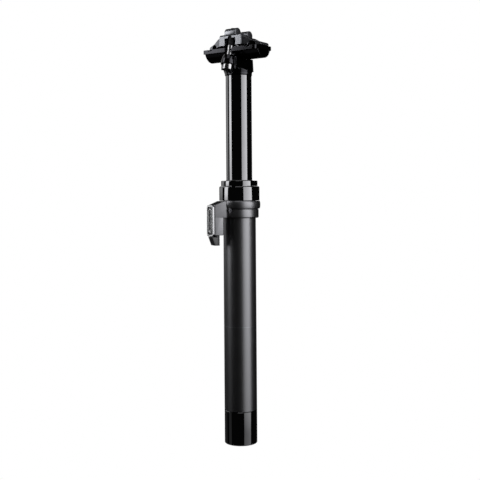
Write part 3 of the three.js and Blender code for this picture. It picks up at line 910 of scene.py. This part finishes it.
class SEATPOST_OT_clamp(bpy.types.Operator):
    """Model the upper clamp with its two towers and wings"""

    bl_idname = "seatpost.clamp"
    bl_label = "Upper clamp"

    def execute(self, context):
        front = [(1, 383.4), (14.1, 383.4), (14.1, 392.4), (12.6, 394.1), (1, 392.6)]
        front = plate(front, -12.5, 12.5, "side")
        rear = [(-15, 383.4), (1.5, 383.4), (1.5, 392), (-6, 394.1), (-13.6, 394.1), (-15, 392.6)]
        wing = [(10, 383.4), (10, 392.2), (14.8, 390.9), (17.5, 389.6), (22, 387), (26.5, 386), (29.2, 385.3)]
        wing += [(30.2, 384.2), (30.4, 382.6), (18, 382.6), (16, 383.4)]
        wings = [plate([(side * x, z) for x, z in wing], -7.4, 13.4, "front") for side in (-1, 1)]
        for side, piece in zip((-1, 1), wings):
            sweep = [(13.5, side * 12.4), (6, side * 30.6), (20, side * 30.6), (20, side * 12.4)]
            cut(piece, plate(sweep, 380, 396))
        body = joined(front, plate(rear, -7, 7, "side"), *wings)
        cut(body, block((4.5, 15), (-6.2, 6.2), (383, 390.4)), block((-16, -5), (-4.4, 4.4), (383, 390)))
        for end, reach in (("front", 6.8), ("rear", 8)):
            cut(body, bar(NUT_RADIUS + 0.3, -reach, reach, BOLTS[end][1], sides=96))
            cut(body, on_bolt(bar(3.9, 14, 50, (0, 0, 0), "Z"), end))
        cut(body, *[bar(RAIL_GROOVE, -30, 30, (x, 0, RAIL_UP), "Y") for x in (-RAIL_SIDE, RAIL_SIDE)])
        cast(body, 0.27, 3)
        show(body, "clamp_casting", "saddle_clamp", "cast_silver", "upper_clamp")
        return {"FINISHED"}


class SEATPOST_OT_fasteners(bpy.types.Operator):
    """Model the clamp bolts, their washers and the barrel nuts"""

    bl_idname = "seatpost.fasteners"
    bl_label = "Fasteners"

    def execute(self, context):
        for end in BOLTS:
            self.bolt(end)
            self.washer(end)
            self.nut(end)
        return {"FINISHED"}

    def bolt(self, end):
        seat, nut = BOLTS[end]
        tip = (nut - seat).length + 4.7
        shank, crest, head, pitch = 2.9, 2.9, 5.0, 1.0
        thread = []
        # foot: where the bright steel shank stops and the thread's painted shade begins
        foot = 18.2
        up = foot + 0.6
        while up < tip - 1.2:
            thread += [(crest, up), (crest - 0.45, up + pitch / 2)]
            up += pitch
        screw = turned(
            [
                (4.4, -6),
                (4.8, -5.85),
                (head, -5.5),
                (head, -0.3),
                (head - 0.3, 0),
                (shank, 0),
                (shank, foot),
                (shank - 0.3, foot + 0.3),
            ],
            96,
        )
        # The thread above the foot is finished black as painted shade: the real steel thread lies in the shadow of
        # the clamp's front bar, which these lamps don't cast, so the black stands in for that shadow.
        rod = turned([(2.0, foot), (2.6, foot), *thread, (crest - 0.2, tip - 0.6), (crest - 0.7, tip)], 96)
        bpy.ops.object.shade_smooth_by_angle(angle=EDGE_ANGLE)
        show(on_bolt(rod, end), f"{end}_painted_shade_bolt_thread", f"{end}_bolt", "black_plastic", f"{end}_bolt")
        socket = bar(2.9, -7, -3, (0, 0, 0), "Z", 6)
        cut(screw, socket)
        bpy.ops.object.shade_smooth_by_angle(angle=EDGE_ANGLE)
        show(on_bolt(screw, end), f"{end}_clamp_bolt", f"{end}_bolt", "bolt_steel", f"{end}_bolt")

    def washer(self, end):
        ring = turned(
            [(3.3, 0.3), (5.45, 0.3), (5.6, 0.45), (5.6, 0.95), (5.45, 1.1), (3.3, 1.1), (3.3, 0.3)], 96
        )
        bpy.ops.object.shade_smooth_by_angle(angle=EDGE_ANGLE)
        bodies = frame["record"]["behaviour"]["bodies"]
        body = next(name for name, nodes in bodies.items() if f"{end}_washer" in nodes)
        show(on_bolt(ring, end), f"{end}_bolt_washer", body, "bolt_steel", f"{end}_washer")

    def nut(self, end):
        half = span(f"{end}_barrel_nut")[1].x
        nut = bar(NUT_RADIUS, -half, half, BOLTS[end][1], sides=128)
        bevelled(nut, 0.4)
        cut(nut, on_bolt(bar(3.25, 14, 50, (0, 0, 0), "Z"), end))
        bpy.ops.object.shade_smooth_by_angle(angle=EDGE_ANGLE)
        show(nut, f"{end}_cross_nut", f"{end}_nut", "cast_silver", f"{end}_barrel_nut")


class SEATPOST_OT_stage(bpy.types.Operator):
    """Set the floor, the lights and the camera"""

    bl_idname = "seatpost.stage"
    bl_label = "Stage"

    def execute(self, context):
        settings = context.scene.seatpost_stage
        self.floor()
        self.world(context.scene)
        self.lights(settings)
        self.camera(context.scene, settings)
        return {"FINISHED"}

    def floor(self):
        clear()
        bpy.ops.mesh.primitive_circle_add(vertices=96, radius=3.0, fill_type="NGON", location=(0, 0, 0))
        sweep = bpy.context.object
        sweep.name = "floor"
        white = bpy.data.materials.new("pale_floor")
        sweep.visible_glossy = False
        white.use_nodes = True
        tree = white.node_tree
        tree.nodes["Principled BSDF"].inputs["Base Color"].default_value = (0.1, 0.1, 0.1, 1)
        tree.nodes["Principled BSDF"].inputs["Roughness"].default_value = 0.9
        glow = node(tree, "ShaderNodeEmission", Color=(1, 1, 1, 1), Strength=1.0)
        path = tree.nodes.new("ShaderNodeLightPath")
        mix = tree.nodes.new("ShaderNodeMixShader")
        tree.links.new(path.outputs["Is Camera Ray"], mix.inputs[0])
        tree.links.new(tree.nodes["Principled BSDF"].outputs[0], mix.inputs[1])
        tree.links.new(glow.outputs[0], mix.inputs[2])
        tree.links.new(mix.outputs[0], tree.nodes["Material Output"].inputs["Surface"])
        sweep.data.materials.append(white)

    def world(self, scene):
        scene.world = bpy.data.worlds.new("studio")
        scene.world.use_nodes = True
        tree = scene.world.node_tree
        background = tree.nodes["Background"]
        background.inputs["Color"].default_value = (1, 1, 1, 1)
        path = tree.nodes.new("ShaderNodeLightPath")
        strength = node(tree, "ShaderNodeMapRange", **{"To Min": 0.01, "To Max": 1.0})
        tree.links.new(path.outputs["Is Camera Ray"], strength.inputs["Value"])
        tree.links.new(strength.outputs["Result"], background.inputs["Strength"])
        scene.view_settings.view_transform = "Standard"

    def lights(self, settings):
        """Soft boxes round the post: turn from the camera, distance, width, height above the floor, power,
        and how each one fades: brightness of its near side and of its foot, and where the foot's fade starts
        and ends on its height."""
        boxes = {
            "right_box": (49, 0.9, 0.86, 0.3, 24.0, (0.5, 0.2, 0.18, 0.45)),
            "left_strip": (-82, 0.9, 0.38, 0.3, 11.0, (1.0, 0.02, 0.38, 0.54)),
            "left_box": (-128, 0.9, 0.5, 0.3, 3.2, (1.0, 0.05, 0.36, 0.54)),
        }
        for name, (turn, away, width, height, power, fading) in boxes.items():
            angle = settings.azimuth + math.radians(turn)
            at = (math.sin(angle) * away, -math.cos(angle) * away, height)
            light = self.soft_box(name, at, Vector((0, 0, height)), width, 1.9, power)
            self.fade(light, *fading)
        self.soft_box("top_box", (0.2, -0.35, 1.1), Vector((0, 0, 0.35)), 0.5, 0.5, 1.0)

    def soft_box(self, name, at, aim, width, tall, power):
        light = bpy.data.lights.new(name, "AREA")
        light.shape = "RECTANGLE"
        light.size, light.size_y, light.energy = width, tall, power
        stand = bpy.data.objects.new(name, light)
        bpy.context.scene.collection.objects.link(stand)
        stand.location = at
        stand.rotation_euler = (aim - stand.location).to_track_quat("-Z", "Y").to_euler()
        stand.visible_camera = False
        return light

    def fade(self, light, near, foot, start, end):
        """Makes a soft box dimmer at one side and at its foot."""
        light.use_nodes = True
        tree = light.node_tree
        glow = tree.nodes["Emission"]
        face = tree.nodes.new("ShaderNodeNewGeometry")
        split = tree.nodes.new("ShaderNodeSeparateXYZ")
        tree.links.new(face.outputs["Parametric"], split.inputs[0])
        side = node(tree, "ShaderNodeMapRange", **{"To Min": near, "To Max": 1.0})
        rise_values = {"From Min": start, "From Max": end, "To Min": foot, "To Max": 1.0}
        rise = node(tree, "ShaderNodeMapRange", **rise_values)
        both = node(tree, "ShaderNodeMath", operation="MULTIPLY")
        tree.links.new(split.outputs[0], side.inputs["Value"])
        tree.links.new(split.outputs[1], rise.inputs["Value"])
        tree.links.new(side.outputs["Result"], both.inputs[0])
        tree.links.new(rise.outputs["Result"], both.inputs[1])
        tree.links.new(both.outputs[0], glow.inputs["Strength"])

    def camera(self, scene, settings):
        lens = bpy.data.cameras.new("camera")
        lens.lens, lens.sensor_width = settings.lens, 36
        lens.shift_x, lens.shift_y = LENS_SHIFT
        view = bpy.data.objects.new("camera", lens)
        scene.collection.objects.link(view)
        view.location = (
            math.sin(settings.azimuth) * settings.distance,
            -math.cos(settings.azimuth) * settings.distance,
            settings.height,
        )
        view.rotation_euler = (math.pi / 2, CAMERA_ROLL, settings.azimuth)
        scene.camera = view


class SEATPOST_PT_panel(bpy.types.Panel):
    """The seatpost's sizes, colours and steps"""

    bl_label = "Seatpost"
    bl_idname = "SEATPOST_PT_panel"
    bl_space_type = "VIEW_3D"
    bl_region_type = "UI"
    bl_category = "Seatpost"

    def draw(self, context):
        for group in (
            context.scene.seatpost_sizes,
            context.scene.seatpost_colours,
            context.scene.seatpost_stage,
        ):
            for name in group.__annotations__:
                self.layout.prop(group, name)
        for step in STEPS:
            self.layout.operator(step.bl_idname)


STEPS = (
    SEATPOST_OT_finishes,
    SEATPOST_OT_stage,
    SEATPOST_OT_tubes,
    SEATPOST_OT_collar,
    SEATPOST_OT_housing,
    SEATPOST_OT_head,
    SEATPOST_OT_cradle,
    SEATPOST_OT_clamp,
    SEATPOST_OT_fasteners,
)
GROUPS_OF_SETTINGS = {
    "seatpost_sizes": SeatpostSizes,
    "seatpost_colours": SeatpostColours,
    "seatpost_stage": SeatpostStage,
}


def register():
    for settings in GROUPS_OF_SETTINGS.values():
        bpy.utils.register_class(settings)
    for name, settings in GROUPS_OF_SETTINGS.items():
        setattr(bpy.types.Scene, name, bpy.props.PointerProperty(type=settings))
    for cls in (*STEPS, SEATPOST_PT_panel):
        bpy.utils.register_class(cls)


def unregister():
    for cls in (SEATPOST_PT_panel, *reversed(STEPS)):
        bpy.utils.unregister_class(cls)
    for name, settings in GROUPS_OF_SETTINGS.items():
        delattr(bpy.types.Scene, name)
        bpy.utils.unregister_class(settings)


def main():
    register()
    for step in STEPS:
        category, name = step.bl_idname.split(".")
        getattr(getattr(bpy.ops, category), name)()


if __name__ == "__main__":
    main()
